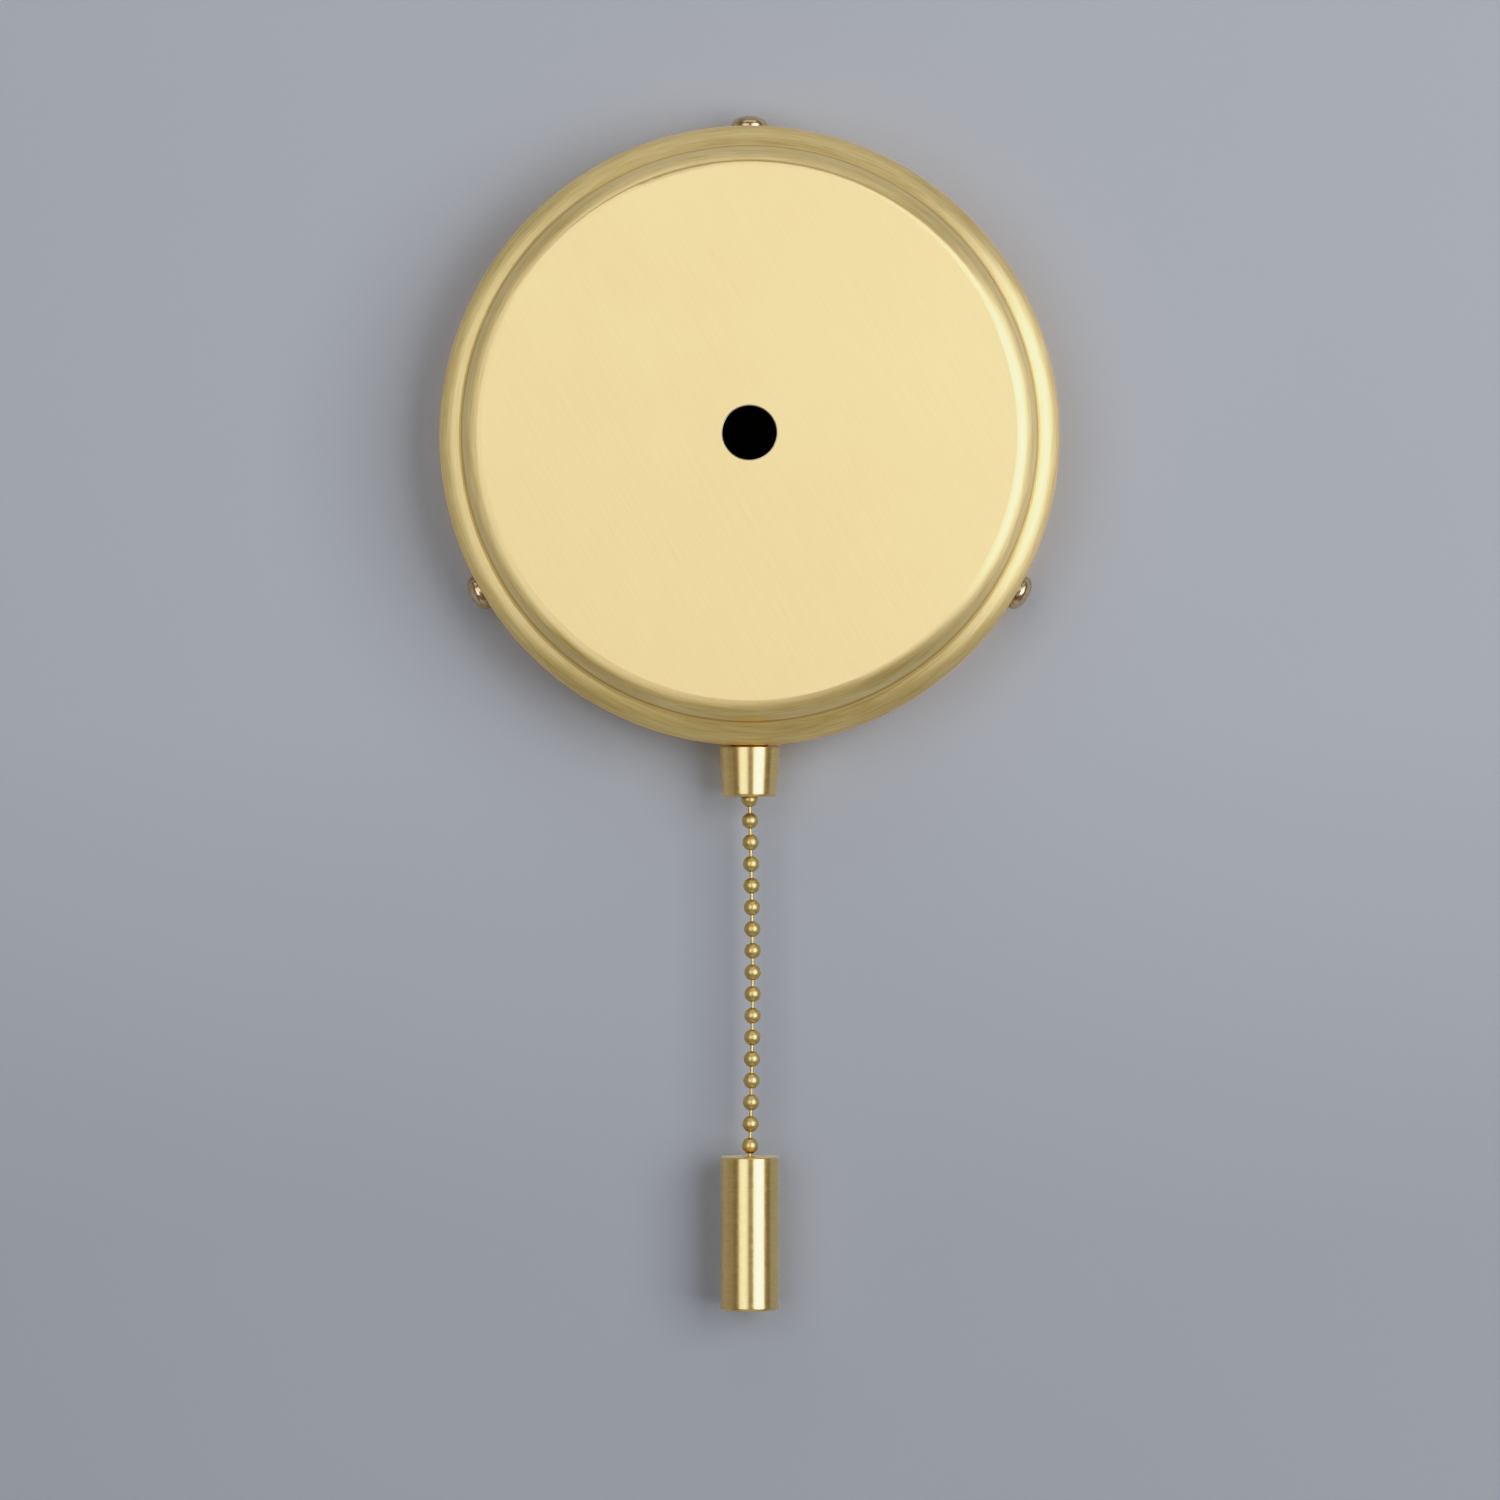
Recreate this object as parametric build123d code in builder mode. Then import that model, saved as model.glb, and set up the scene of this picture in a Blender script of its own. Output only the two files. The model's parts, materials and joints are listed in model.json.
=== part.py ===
from build123d import *
import os
from math import cos, pi, radians, sin, sqrt, tan

os.makedirs("parts", exist_ok=True)

# A wall canopy of spun brass with a pull-chain switch inside it, all in millimetres.
# X is to the right, Y goes into the wall and Z is up. The wall is the plane Y = 0, and
# "depth" is the distance in front of it, so a depth d lies at Y = -d. The origin is the
# middle of the wall bracket's screw pattern.

# ---------------------------------------------------------------- driving dimensions
COVER_R = 60.0  # outer radius of the canopy
COVER_DEPTH = 25.0
SHEET = 1.0
BAND = 13.5  # straight side wall, from the wall to the shoulder
SHOULDER_R = 3.9
FLANK_TILT = 76.0  # degrees between the raised face and its flank
FLANK_SAG = 0.2  # how far the flank is dished
FACE_FLAT_R = 51.3
FACE_EDGE_R = 3.6
PIPE_HOLE_R = 5.2  # clearance for an M10 lamp pipe
SIDE_HOLE_R = 2.2
NECK_HOLE_R = 4.15
FINE_BREAK = 0.2  # small chamfer on turned and stamped edges
SNUG = 0.05  # radial clearance of a piece that sits in another
PRESS_GAP = 0.08  # between a clamping screw's tip and the wire it holds

SIDE_SCREWS = 3
SIDE_SCREW_START = 90.0  # the first one is at 12 o'clock
SIDE_SCREW_DEPTH = 7.5
SIDE_HEAD = (3.5, 2.4, 0.5)  # radius, height and straight rim, as for the other heads
SIDE_CROSS = 1.5  # half the width of the cross recess
SIDE_SCREW_SEAT_R = 60.1
SIDE_SCREW_REACH = 3.0  # past the tab
CROSS_DEPTH = 0.6  # of the cross recess, over its half width
M4_R = 1.95
M4_HOLE_R = 2.0
M3_R = 1.45
M3_HOLE_R = 1.5

PLATE = 1.5  # bracket steel
HUB_R = 22.0
CABLE_HOLE_R = 10.0
STRAP = (80.0, 18.0)
STRAP_CORNER_R = 5.0
BLOCK_PAD_W = 24.5
WALL_SLOT_X = 30.0
WALL_SLOT = (12.0, 4.6)
ARM_W = 16.0
TAB_FACE_R = 58.2  # outer face of a bent tab, close behind the canopy's side wall
TAB_H = 12.5
BEND_R = 2.0
EARTH_R = 24.0  # the earth screw's distance out along the arm at 8 o'clock
EARTH_HEAD = (3.6, 2.6, 1.0)
EARTH_CROSS = 1.8
EARTH_WASHER_R = 4.2
EARTH_WASHER_BORE_R = 2.1
EARTH_TEETH = 10
NOTCH = (0.28, 0.16)  # a washer's notches, over its radius

CHAIN_DEPTH = 8.5  # the chain, the neck and the pull hang on this line
BEAD_R = 1.6
BEAD_INNER_R = 1.35
BEAD_HOLE_R = 0.56
BEAD_PITCH = 4.207
LINK_HEAD_R = 0.68
LINK_NECK_R = 0.33
LINK_PIVOT = 0.79  # a link's head sits this far from the middle of its bead
FIRST_BEAD_Z = -70.36  # the bead in the mouth of the bell nut
OUTER_BEADS = 17  # hanging beads, the last of them inside the pull
INNER_BEADS = 9  # from the slider's pocket to the bell nut's mouth
CHAIN_BOW = 0.6  # how far the hanging chain strays to the right at half its length

PULL_R = 5.65
PULL_TOP_Z = -139.8
PULL_LENGTH = 29.7
PULL_END_FILLET = 0.6
PULL_BORE_BREAK = 0.3
PULL_TOP_WALL = 1.0
PULL_EYE_R = 1.2  # smaller than a bead, so the last bead carries the pull
PULL_BORE_R = 1.85

BELL_TOP_R = 6.0
BELL_END_R = 5.25
BELL_TOP_Z = -60.1
BELL_END_Z = -69.9
BELL_MOUTH_R = 2.6
BELL_LIP = 1.5
BELL_LIP_RISE = 0.6  # from the lip to the foot of the thread
BELL_END_FILLET = 0.7
BELL_MOUTH_FILLET = 0.5

NECK_R = 3.95  # M8x1
THREAD_HOLE_R = 4.0
NECK_BORE_R = 2.3
NECK_END_Z = -67.6
NECK_FLANGE_R = 4.9
NECK_FLANGE = 1.2
THREAD_PITCH = 1.0
THREAD_DEPTH = 0.5
THREAD_HALF_W = 0.4
THREAD_START = 0.4  # from the case to the first groove
NUT_ACROSS_FLATS = 13.0
NUT_H = 3.0
NUT_CORNER = 1.0  # how far down the turned corners reach
WASHER_R = 6.5
WASHER_BORE_R = 4.1
WASHER_TEETH = 14
WASHER = 0.8
WASHER_Z = -58.6  # lowest face of the washer, where the curved wall carries it

CASE_X = (-21.5, 7.5)
CASE_Z = (-54.2, -27.2)
CASE_DEPTH = (2.0, 15.0)
CASE_WALL = 1.5
CASE_LEFT_WALL = 4.1
CASE_CORNER_R = 3.0
CASE_EDGE_R = 0.8
RIVETS = ((-19.4, -49.8), (-19.4, -30.4), (5.2, -46.5), (5.2, -31.0))
RIVET_R = 1.1
RIVET_BORE_R = 0.6
RIVET_HEAD_R = 2.0
RIVET_HEAD = 0.5
SPLIT_GAP = 0.02

SLIDER_HALF_W = 3.45
SLIDER_CORNER_R = 0.4
SLIDER_HOLE_R = 0.8  # the chain's way through the slider's floor
SLIDER_FLOOR = 0.85
SLIDER_POCKET_R = 1.75
SLIDER_EXIT_R = 1.85
BEAD_SEAT_GAP = 0.03
SLIDER_Z = (-41.0, -34.0)
SLIDER_DEPTH = (3.65, 13.35)
GUIDE_GAP = 0.15
GUIDE_RIB = 0.8
GUIDE_FOOT_Z = -49.5
GUIDE_TOP_Z = -36.2  # of the rib on the rotor's side
SPRING_COIL_R = 3.0
SPRING_WIRE_R = 0.3
SPRING_TURNS = 5

ROTOR_X = -10.2
ROTOR_Z = -44.0
STAR_R = 6.3
STAR_HUB_R = 2.6
SPOKE_W = 1.4
SPOKES = 4
STAR_DEPTH = (9.5, 11.5)
ROTOR_DEPTH = (4.0, 13.2)
RING_CARRIER_END = 9.2
SIDE_PLAY = 0.1  # at each side of a strip that works on the star
DETENT_GAP = 0.45
DETENT = 0.3
DETENT_RISE = 5.0  # the detent leaf's tip, over the rotor's axis
FINGER_REACH = 3.4  # the finger's tip, from the rotor's axis
FINGER_RISE = 5.0  # the finger's underside over the rotor's axis, at rest
FINGER = 1.0
FINGER_BACK = 0.28  # the strip that lies on the slider's side
FINGER_GAP = 0.02
FINGER_TOP = 0.5  # from the strip's top to the slider's
AXLE_R = 1.0
AXLE_HOLE_R = 1.06
AXLE_SEAT = 0.6  # the skin left under each end of the axle
AXLE_END_PLAY = 0.05
LOBE_R = 4.4
RING_R = 3.6
RING_BORE_R = 3.0
RING_DEPTH = (4.9, 8.5)
LOBE_ANGLE = 20.0
LEAF = 0.4
LEAF_GAP = 0.06
LEAF_POINT_R = 0.6
LEAF_TAIL = 4.0  # past the rotor's axis
LEAF_DEPTH = (5.2, 8.2)

CLAMP_X = (-14.5, -7.2)
CLAMP_SIZE = (5.0, 6.0, 6.5)
CLAMP_Z = -32.2
CLAMP_SCREW_R = 1.2
CLAMP_HEAD_R = 1.7
CLAMP_HEAD_H = 1.8
CLAMP_WELL_R = 2.0
CLAMP_FLOOR = 1.0
SLOT_W = 0.6
CLAMP_SLOT = 0.8  # depth
CLAMP_SLOT_TURN = 20.0

LEAD_R = 1.0
LEAD_HOLE_R = 1.25
LEAD_BEND = 0.45  # how much of its shorter run a corner's arc takes up
BLOCK_Z = 27.0
BLOCK_SIZE = (35.0, 16.0, 13.0)
BLOCK_BASE_H = 8.06
BLOCK_CORNER_R = 1.5
BLOCK_NOTCH_R = 1.8
RIDGE_W = 6.6
RIDGE_CORNER_R = 1.2
BLOCK_SCREW_HOLE_R = 1.65
BLOCK_SCREW_HEAD = (1.9, 1.6, 0.6)
BLOCK_SCREW_CROSS = 1.2
BLOCK_SCREW_SHORT = 0.1  # of the wall
BLOCK_POLES = 3
POLE_PITCH = 11.0
SLEEVE_DEPTH = 7.0
SLEEVE_R = 2.4
SLEEVE_BORE_R = 1.4
SLEEVE_L = 14.0
GRUB_SPREAD = 7.0  # between the two grub screws of a pole
GRUB_L = 4.6
GRUB_WELL_R = 1.85
GRUB_SLOT = 0.9  # depth
GRUB_SLOT_TURN = 35.0

WALL = Plane.XZ  # its normal points away from the wall, so offsets are depths
CHAIN_PLANE = WALL.offset(CHAIN_DEPTH)
CHAIN_AXIS = Axis((0, -CHAIN_DEPTH, 0), (0, 0, 1))
CASE_MID_X = sum(CASE_X) / 2
CASE_MID_Z = sum(CASE_Z) / 2


def save(piece, name):
    """Labels a finished piece and writes it as one STEP file."""
    piece.part.label = name
    export_step(piece.part, f"parts/{name}.step")


def radial_plane(angle, depth, radius):
    """A plane square to a radius of the canopy, facing outwards."""
    out = Vector(cos(radians(angle)), 0, sin(radians(angle)))
    return Plane(origin=out * radius + Vector(0, -depth, 0), x_dir=(0, 1, 0), z_dir=out)


def side_angles():
    return [SIDE_SCREW_START + i * 360 / SIDE_SCREWS for i in range(SIDE_SCREWS)]


# ---------------------------------------------------------------- canopy
def make_canopy_cover():
    """A spun shell: side wall, rounded shoulder, dished flank and a flat raised face."""
    step_r = COVER_R - SHOULDER_R
    edge_y = -(COVER_DEPTH - FACE_EDGE_R)
    inner_edge_r = FACE_EDGE_R - SHEET
    tilt = radians(FLANK_TILT)
    flank_top = (FACE_FLAT_R + FACE_EDGE_R * sin(tilt), edge_y - FACE_EDGE_R * cos(tilt))
    inner_top = (
        FACE_FLAT_R + inner_edge_r * sin(tilt),
        edge_y - inner_edge_r * cos(tilt),
    )
    inner_step_y = -(BAND + SHOULDER_R - SHEET)
    inner_foot_r = inner_top[0] + (inner_step_y - inner_top[1]) / tan(tilt)
    with BuildPart() as cover:
        with BuildSketch(Plane.XY):
            with BuildLine():
                Line((COVER_R, 0), (COVER_R, -BAND))
                CenterArc((step_r, -BAND), SHOULDER_R, 0, -90)
                SagittaArc((step_r, -BAND - SHOULDER_R), flank_top, FLANK_SAG)
                CenterArc((FACE_FLAT_R, edge_y), FACE_EDGE_R, FLANK_TILT - 90, -FLANK_TILT)
                Polyline(
                    (FACE_FLAT_R, -COVER_DEPTH),
                    (PIPE_HOLE_R, -COVER_DEPTH),
                    (PIPE_HOLE_R, SHEET - COVER_DEPTH),
                    (FACE_FLAT_R, SHEET - COVER_DEPTH),
                )
                CenterArc((FACE_FLAT_R, edge_y), inner_edge_r, -90, FLANK_TILT)
                Polyline(inner_top, (inner_foot_r, inner_step_y), (step_r, inner_step_y))
                CenterArc((step_r, -BAND), SHOULDER_R - SHEET, -90, 90)
                Polyline((COVER_R - SHEET, -BAND), (COVER_R - SHEET, 0), (COVER_R, 0))
            make_face()
        revolve(axis=Axis.Y)
        pipe_edge = (
            cover.edges()
            .filter_by(GeomType.CIRCLE)
            .filter_by(lambda edge: edge.radius < PIPE_HOLE_R + FINE_BREAK)
            .sort_by(Axis.Y)[0]
        )
        chamfer(pipe_edge, FINE_BREAK)
        for angle in side_angles():
            with BuildSketch(radial_plane(angle, SIDE_SCREW_DEPTH, COVER_R)):
                Circle(SIDE_HOLE_R)
            extrude(amount=2 * SHEET, both=True, mode=Mode.SUBTRACT)
        with BuildSketch(radial_plane(-90, CHAIN_DEPTH, COVER_R)):
            Circle(NECK_HOLE_R)
        extrude(amount=2 * SHEET, both=True, mode=Mode.SUBTRACT)
    return cover


def make_screw(head, shank_r, shank_l, cross):
    """A domed screw on the Z axis, its head's underside at Z = 0, with a cross recess."""
    head_r, head_h, rim = head
    with BuildPart() as screw:
        with BuildSketch(Plane.XZ):
            with BuildLine():
                Polyline((0, head_h), (0, -shank_l), (shank_r - FINE_BREAK, -shank_l))
                Line((shank_r - FINE_BREAK, -shank_l), (shank_r, FINE_BREAK - shank_l))
                Polyline((shank_r, FINE_BREAK - shank_l), (shank_r, 0), (head_r, 0))
                Line((head_r, 0), (head_r, rim))
                EllipticalCenterArc((0, rim), head_r, head_h - rim, start_angle=0, arc_size=90)
            make_face()
        revolve(axis=Axis.Z)
        with BuildSketch(Plane.XY.offset(head_h)):
            Rectangle(2 * cross, cross / 2)
            Rectangle(cross / 2, 2 * cross)
        extrude(amount=-cross * CROSS_DEPTH, mode=Mode.SUBTRACT)
    return screw


def make_canopy_screws():
    """Three M4 dome-head screws through the side wall into the bracket's tabs."""
    length = SIDE_SCREW_SEAT_R - TAB_FACE_R + PLATE + SIDE_SCREW_REACH
    one = make_screw(SIDE_HEAD, M4_R, length, SIDE_CROSS)
    with BuildPart() as screws:
        with Locations(WALL.offset(SIDE_SCREW_DEPTH)):
            with PolarLocations(SIDE_SCREW_SEAT_R, SIDE_SCREWS, start_angle=SIDE_SCREW_START):
                with Locations(Location((0, 0, 0), (0, 90, 0))):
                    add(one.part)
    return screws


# ---------------------------------------------------------------- wall bracket
def make_wall_bracket():
    """A stamped steel spider: hub, strap with two slots, and three arms with bent tabs."""
    with BuildPart() as bracket:
        with BuildSketch(WALL):
            Circle(HUB_R)
            RectangleRounded(*STRAP, STRAP_CORNER_R)
            with PolarLocations(TAB_FACE_R / 2, SIDE_SCREWS, start_angle=SIDE_SCREW_START):
                Rectangle(TAB_FACE_R, ARM_W)
            with Locations((0, BLOCK_Z)):
                Rectangle(BLOCK_PAD_W, BLOCK_SIZE[1])
        extrude(amount=PLATE)
        with Locations(WALL):
            with PolarLocations(TAB_FACE_R, SIDE_SCREWS, start_angle=SIDE_SCREW_START):
                Box(PLATE, ARM_W, TAB_H, align=(Align.MAX, Align.CENTER, Align.MIN))
        for angle in side_angles():
            foot = radial_plane(angle, 0, TAB_FACE_R).location.position
            outer_bend = bracket.edges().sort_by(lambda edge: (edge.center() - foot).length)
            fillet(outer_bend[0], BEND_R)
            with BuildSketch(radial_plane(angle, SIDE_SCREW_DEPTH, TAB_FACE_R)):
                Circle(M4_HOLE_R)
            extrude(amount=2 * PLATE, both=True, mode=Mode.SUBTRACT)
        with BuildSketch(WALL):
            Circle(CABLE_HOLE_R)
            with Locations((-WALL_SLOT_X, 0), (WALL_SLOT_X, 0)):
                SlotOverall(*WALL_SLOT)
            with block_screw_places():
                Circle(M3_HOLE_R)
            with PolarLocations(EARTH_R, 1, start_angle=side_angles()[1]):
                Circle(M4_HOLE_R)
        extrude(amount=PLATE, mode=Mode.SUBTRACT)
    return bracket


def make_earth_screw():
    """The M4 earth screw on the arm at 8 o'clock."""
    one = make_screw(EARTH_HEAD, M4_R, WASHER + PLATE, EARTH_CROSS)
    with BuildPart() as screw:
        with Locations(WALL.offset(PLATE + WASHER)):
            with PolarLocations(EARTH_R, 1, start_angle=side_angles()[1]):
                add(one.part)
    return screw


def toothed_washer(inner_r, outer_r, teeth):
    """A flat washer on the Z axis, from Z = 0 up, with notches cut into its rim."""
    with BuildPart() as washer:
        with BuildSketch():
            Circle(outer_r)
            Circle(inner_r, mode=Mode.SUBTRACT)
            with PolarLocations(outer_r, teeth):
                Rectangle(outer_r * NOTCH[0], outer_r * NOTCH[1], mode=Mode.SUBTRACT)
        extrude(amount=WASHER)
    return washer


def make_earth_washer():
    """A toothed washer under the earth screw's head."""
    one = toothed_washer(EARTH_WASHER_BORE_R, EARTH_WASHER_R, EARTH_TEETH)
    with BuildPart() as washer:
        with Locations(WALL.offset(PLATE)):
            with PolarLocations(EARTH_R, 1, start_angle=side_angles()[1]):
                add(one.part)
    return washer


# ---------------------------------------------------------------- terminal block
def pole_points():
    """Where the poles cross the middle of the block, in the wall's plane."""
    half = (BLOCK_POLES - 1) / 2
    return [((i - half) * POLE_PITCH, BLOCK_Z) for i in range(BLOCK_POLES)]


def grub_points():
    return [
        (x, z + side * GRUB_SPREAD / 2) for x, z in pole_points() for side in (-1, 1)
    ]


def block_screw_places():
    """The two gaps between the poles, where the block is screwed down."""
    return Locations((-POLE_PITCH / 2, BLOCK_Z), (POLE_PITCH / 2, BLOCK_Z))


def make_terminal_block():
    """A moulded three-pole block with a well over each grub screw."""
    with BuildPart() as block:
        with BuildSketch(WALL.offset(PLATE)):
            with Locations((0, BLOCK_Z)):
                RectangleRounded(BLOCK_SIZE[0], BLOCK_SIZE[1], BLOCK_CORNER_R)
                with GridLocations(POLE_PITCH, BLOCK_SIZE[1], BLOCK_POLES - 1, 2):
                    Circle(BLOCK_NOTCH_R, mode=Mode.SUBTRACT)
        extrude(amount=BLOCK_BASE_H)
        with BuildSketch(WALL.offset(PLATE + BLOCK_BASE_H)):
            with Locations(*pole_points()):
                RectangleRounded(RIDGE_W, BLOCK_SIZE[1], RIDGE_CORNER_R)
        extrude(amount=BLOCK_SIZE[2] - BLOCK_BASE_H)
        with BuildSketch(Plane.XY.offset(BLOCK_Z - BLOCK_SIZE[1] / 2)):
            with Locations(*[(x, -SLEEVE_DEPTH) for x, _ in pole_points()]):
                Circle(SLEEVE_R + SNUG)
        extrude(amount=BLOCK_SIZE[1], mode=Mode.SUBTRACT)
        with BuildSketch(WALL.offset(SLEEVE_DEPTH)):
            with Locations(*grub_points()):
                Circle(GRUB_WELL_R)
        extrude(amount=BLOCK_SIZE[2], mode=Mode.SUBTRACT)
        with BuildSketch(WALL.offset(PLATE)):
            with block_screw_places():
                Circle(BLOCK_SCREW_HOLE_R)
        extrude(amount=BLOCK_SIZE[2], mode=Mode.SUBTRACT)
    return block


def make_terminal_sleeves():
    """Three brass sleeves that take the wires."""
    with BuildPart() as sleeves:
        with BuildSketch(Plane.XY.offset(BLOCK_Z - SLEEVE_L / 2)):
            with Locations(*[(x, -SLEEVE_DEPTH) for x, _ in pole_points()]):
                Circle(SLEEVE_R)
                Circle(SLEEVE_BORE_R, mode=Mode.SUBTRACT)
        extrude(amount=SLEEVE_L)
        with BuildSketch(WALL.offset(SLEEVE_DEPTH)):
            with Locations(*grub_points()):
                Circle(M3_HOLE_R)
        extrude(amount=SLEEVE_R, mode=Mode.SUBTRACT)
    return sleeves


def make_terminal_screws():
    """Six slotted grub screws, two for each sleeve."""
    tip = SLEEVE_DEPTH + LEAD_R + PRESS_GAP
    with BuildPart() as screws:
        with BuildSketch(WALL.offset(tip)):
            with Locations(*grub_points()):
                Circle(M3_R)
        extrude(amount=GRUB_L)
        with BuildSketch(WALL.offset(tip + GRUB_L)):
            with Locations(*grub_points()):
                Rectangle(2 * M3_R, SLOT_W, rotation=GRUB_SLOT_TURN)
        extrude(amount=-GRUB_SLOT, mode=Mode.SUBTRACT)
    return screws


def make_terminal_mount_screws():
    """Two M3 screws that hold the block on its bracket arm."""
    seat = PLATE + BLOCK_BASE_H
    one = make_screw(BLOCK_SCREW_HEAD, M3_R, seat - BLOCK_SCREW_SHORT, BLOCK_SCREW_CROSS)
    with BuildPart() as screws:
        with Locations(WALL.offset(seat)):
            with block_screw_places():
                add(one.part)
    return screws


# ---------------------------------------------------------------- switch case
def cavity_x():
    return CASE_X[0] + CASE_LEFT_WALL, CASE_X[1] - CASE_WALL


def cavity_z():
    return CASE_Z[0] + CASE_WALL, CASE_Z[1] - CASE_WALL


def box_between(xs, zs):
    """A rectangle in a wall-parallel sketch, from its X and Z limits."""
    with Locations(((xs[0] + xs[1]) / 2, (zs[0] + zs[1]) / 2)):
        Rectangle(xs[1] - xs[0], zs[1] - zs[0])


def case_half(start, end, floor_at_start):
    """One half of the switch case, hollow from its parting face to its floor."""
    floor_start = start + CASE_WALL if floor_at_start else start
    floor_end = end if floor_at_start else end - CASE_WALL
    xs, zs = cavity_x(), cavity_z()
    with BuildPart() as half:
        with BuildSketch(WALL.offset(start)):
            with Locations((CASE_MID_X, CASE_MID_Z)):
                RectangleRounded(CASE_X[1] - CASE_X[0], CASE_Z[1] - CASE_Z[0], CASE_CORNER_R)
        extrude(amount=end - start)
        outer_face = half.faces().sort_by(Axis.Y)[-1 if floor_at_start else 0]
        fillet(outer_face.edges(), CASE_EDGE_R)
        with BuildSketch(WALL.offset(floor_start)):
            box_between(xs, zs)
        extrude(amount=floor_end - floor_start, mode=Mode.SUBTRACT)
        with BuildSketch(WALL.offset(floor_start)):
            box_between((SLIDER_HALF_W + GUIDE_GAP, xs[1]), (GUIDE_FOOT_Z, zs[1]))
        extrude(amount=floor_end - floor_start)
        with BuildSketch(WALL.offset(start)):
            with Locations(*RIVETS):
                Circle(RIVET_R + SNUG)
        extrude(amount=end - start, mode=Mode.SUBTRACT)
        with BuildSketch(Plane.XY.offset(CASE_Z[0])):
            with Locations((0, -CHAIN_DEPTH)):
                Circle(THREAD_HOLE_R)
        extrude(amount=CASE_WALL, mode=Mode.SUBTRACT)
        with BuildSketch(Plane.XY.offset(cavity_z()[1])):
            with Locations(*[(x, -CHAIN_DEPTH) for x in CLAMP_X]):
                Circle(LEAD_HOLE_R)
        extrude(amount=CASE_WALL, mode=Mode.SUBTRACT)
    return half


def rotor_circle(radius):
    """A circle round the rotor's axis, in a wall-parallel sketch."""
    with Locations((ROTOR_X, ROTOR_Z)):
        Circle(radius)


def make_switch_base():
    """The half of the case at the wall, with a guide rib and a seat for the axle."""
    guide = SLIDER_HALF_W + GUIDE_GAP
    with BuildPart() as base:
        add(case_half(CASE_DEPTH[0], CHAIN_DEPTH - SPLIT_GAP, True).part)
        with BuildSketch(WALL.offset(CASE_DEPTH[0] + CASE_WALL)):
            box_between((-GUIDE_RIB - guide, -guide), (GUIDE_FOOT_Z, GUIDE_TOP_Z))
        extrude(amount=CHAIN_DEPTH - CASE_DEPTH[0] - CASE_WALL - SPLIT_GAP)
        with BuildSketch(WALL.offset(CASE_DEPTH[0] + AXLE_SEAT)):
            rotor_circle(AXLE_HOLE_R)
        extrude(amount=CASE_WALL, mode=Mode.SUBTRACT)
    return base


def make_switch_cover():
    """The front half of the case, with wells over the two clamp screws."""
    with BuildPart() as cover:
        add(case_half(CHAIN_DEPTH, CASE_DEPTH[1], False).part)
        with BuildSketch(WALL.offset(CASE_DEPTH[1] - AXLE_SEAT)):
            rotor_circle(AXLE_HOLE_R)
        extrude(amount=-CASE_WALL, mode=Mode.SUBTRACT)
        with BuildSketch(WALL.offset(CASE_DEPTH[1])):
            with Locations(*[(x, CLAMP_Z) for x in CLAMP_X]):
                Circle(CLAMP_WELL_R)
        extrude(amount=-2 * CASE_WALL, mode=Mode.SUBTRACT)
    return cover


def make_switch_rivets():
    """Four tubular rivets that close the case."""
    with BuildPart() as rivets:
        with BuildSketch(WALL.offset(CASE_DEPTH[0])):
            with Locations(*RIVETS):
                Circle(RIVET_R)
        extrude(amount=CASE_DEPTH[1] - CASE_DEPTH[0])
        for start, way in ((CASE_DEPTH[0], -1), (CASE_DEPTH[1], 1)):
            with BuildSketch(WALL.offset(start)):
                with Locations(*RIVETS):
                    Circle(RIVET_HEAD_R)
            extrude(amount=way * RIVET_HEAD)
        with BuildSketch(WALL.offset(CASE_DEPTH[0] - RIVET_HEAD)):
            with Locations(*RIVETS):
                Circle(RIVET_BORE_R)
        extrude(amount=CASE_DEPTH[1] - CASE_DEPTH[0] + 2 * RIVET_HEAD, mode=Mode.SUBTRACT)
    return rivets


# ---------------------------------------------------------------- neck and its nuts
def make_switch_neck():
    """The threaded brass neck, with the flange that the case holds and the thread's ridges."""
    top = cavity_z()[0] + NECK_FLANGE
    floor = cavity_z()[0]
    thread_end = CASE_Z[0] - THREAD_START
    grooves = int((thread_end - NECK_END_Z) // THREAD_PITCH)
    with BuildPart() as neck:
        with BuildSketch(CHAIN_PLANE):
            with BuildLine():
                Polyline(
                    (NECK_BORE_R, top),
                    (NECK_FLANGE_R, top),
                    (NECK_FLANGE_R, floor),
                    (NECK_R, floor),
                    (NECK_R, NECK_END_Z + THREAD_DEPTH),
                    (NECK_R - THREAD_DEPTH, NECK_END_Z),
                    (NECK_BORE_R, NECK_END_Z),
                    close=True,
                )
            make_face()
            for i in range(grooves):
                groove_z = thread_end - (i + 0.5) * THREAD_PITCH
                with BuildLine():
                    Polyline(
                        (NECK_R, groove_z + THREAD_HALF_W),
                        (NECK_R - THREAD_DEPTH, groove_z),
                        (NECK_R, groove_z - THREAD_HALF_W),
                        close=True,
                    )
                make_face(mode=Mode.SUBTRACT)
        revolve(axis=CHAIN_AXIS)
    return neck


def make_neck_nut():
    """The hex nut that clamps the neck to the canopy from inside, with its corners turned off."""
    flat_r = NUT_ACROSS_FLATS / 2
    corner_r = NUT_ACROSS_FLATS / sqrt(3)
    top = WASHER_Z + WASHER + NUT_H
    with BuildPart() as nut:
        with BuildSketch(Plane.XY.offset(top)):
            with Locations((0, -CHAIN_DEPTH)):
                RegularPolygon(flat_r, 6, major_radius=False, rotation=0)
                Circle(THREAD_HOLE_R, mode=Mode.SUBTRACT)
        extrude(amount=-NUT_H)
        with BuildSketch(CHAIN_PLANE):
            with BuildLine():
                Polyline(
                    (flat_r, top),
                    (corner_r + NUT_CORNER, top),
                    (corner_r + NUT_CORNER, top - NUT_CORNER),
                    close=True,
                )
            make_face()
        revolve(axis=CHAIN_AXIS, mode=Mode.SUBTRACT)
    return nut


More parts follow.
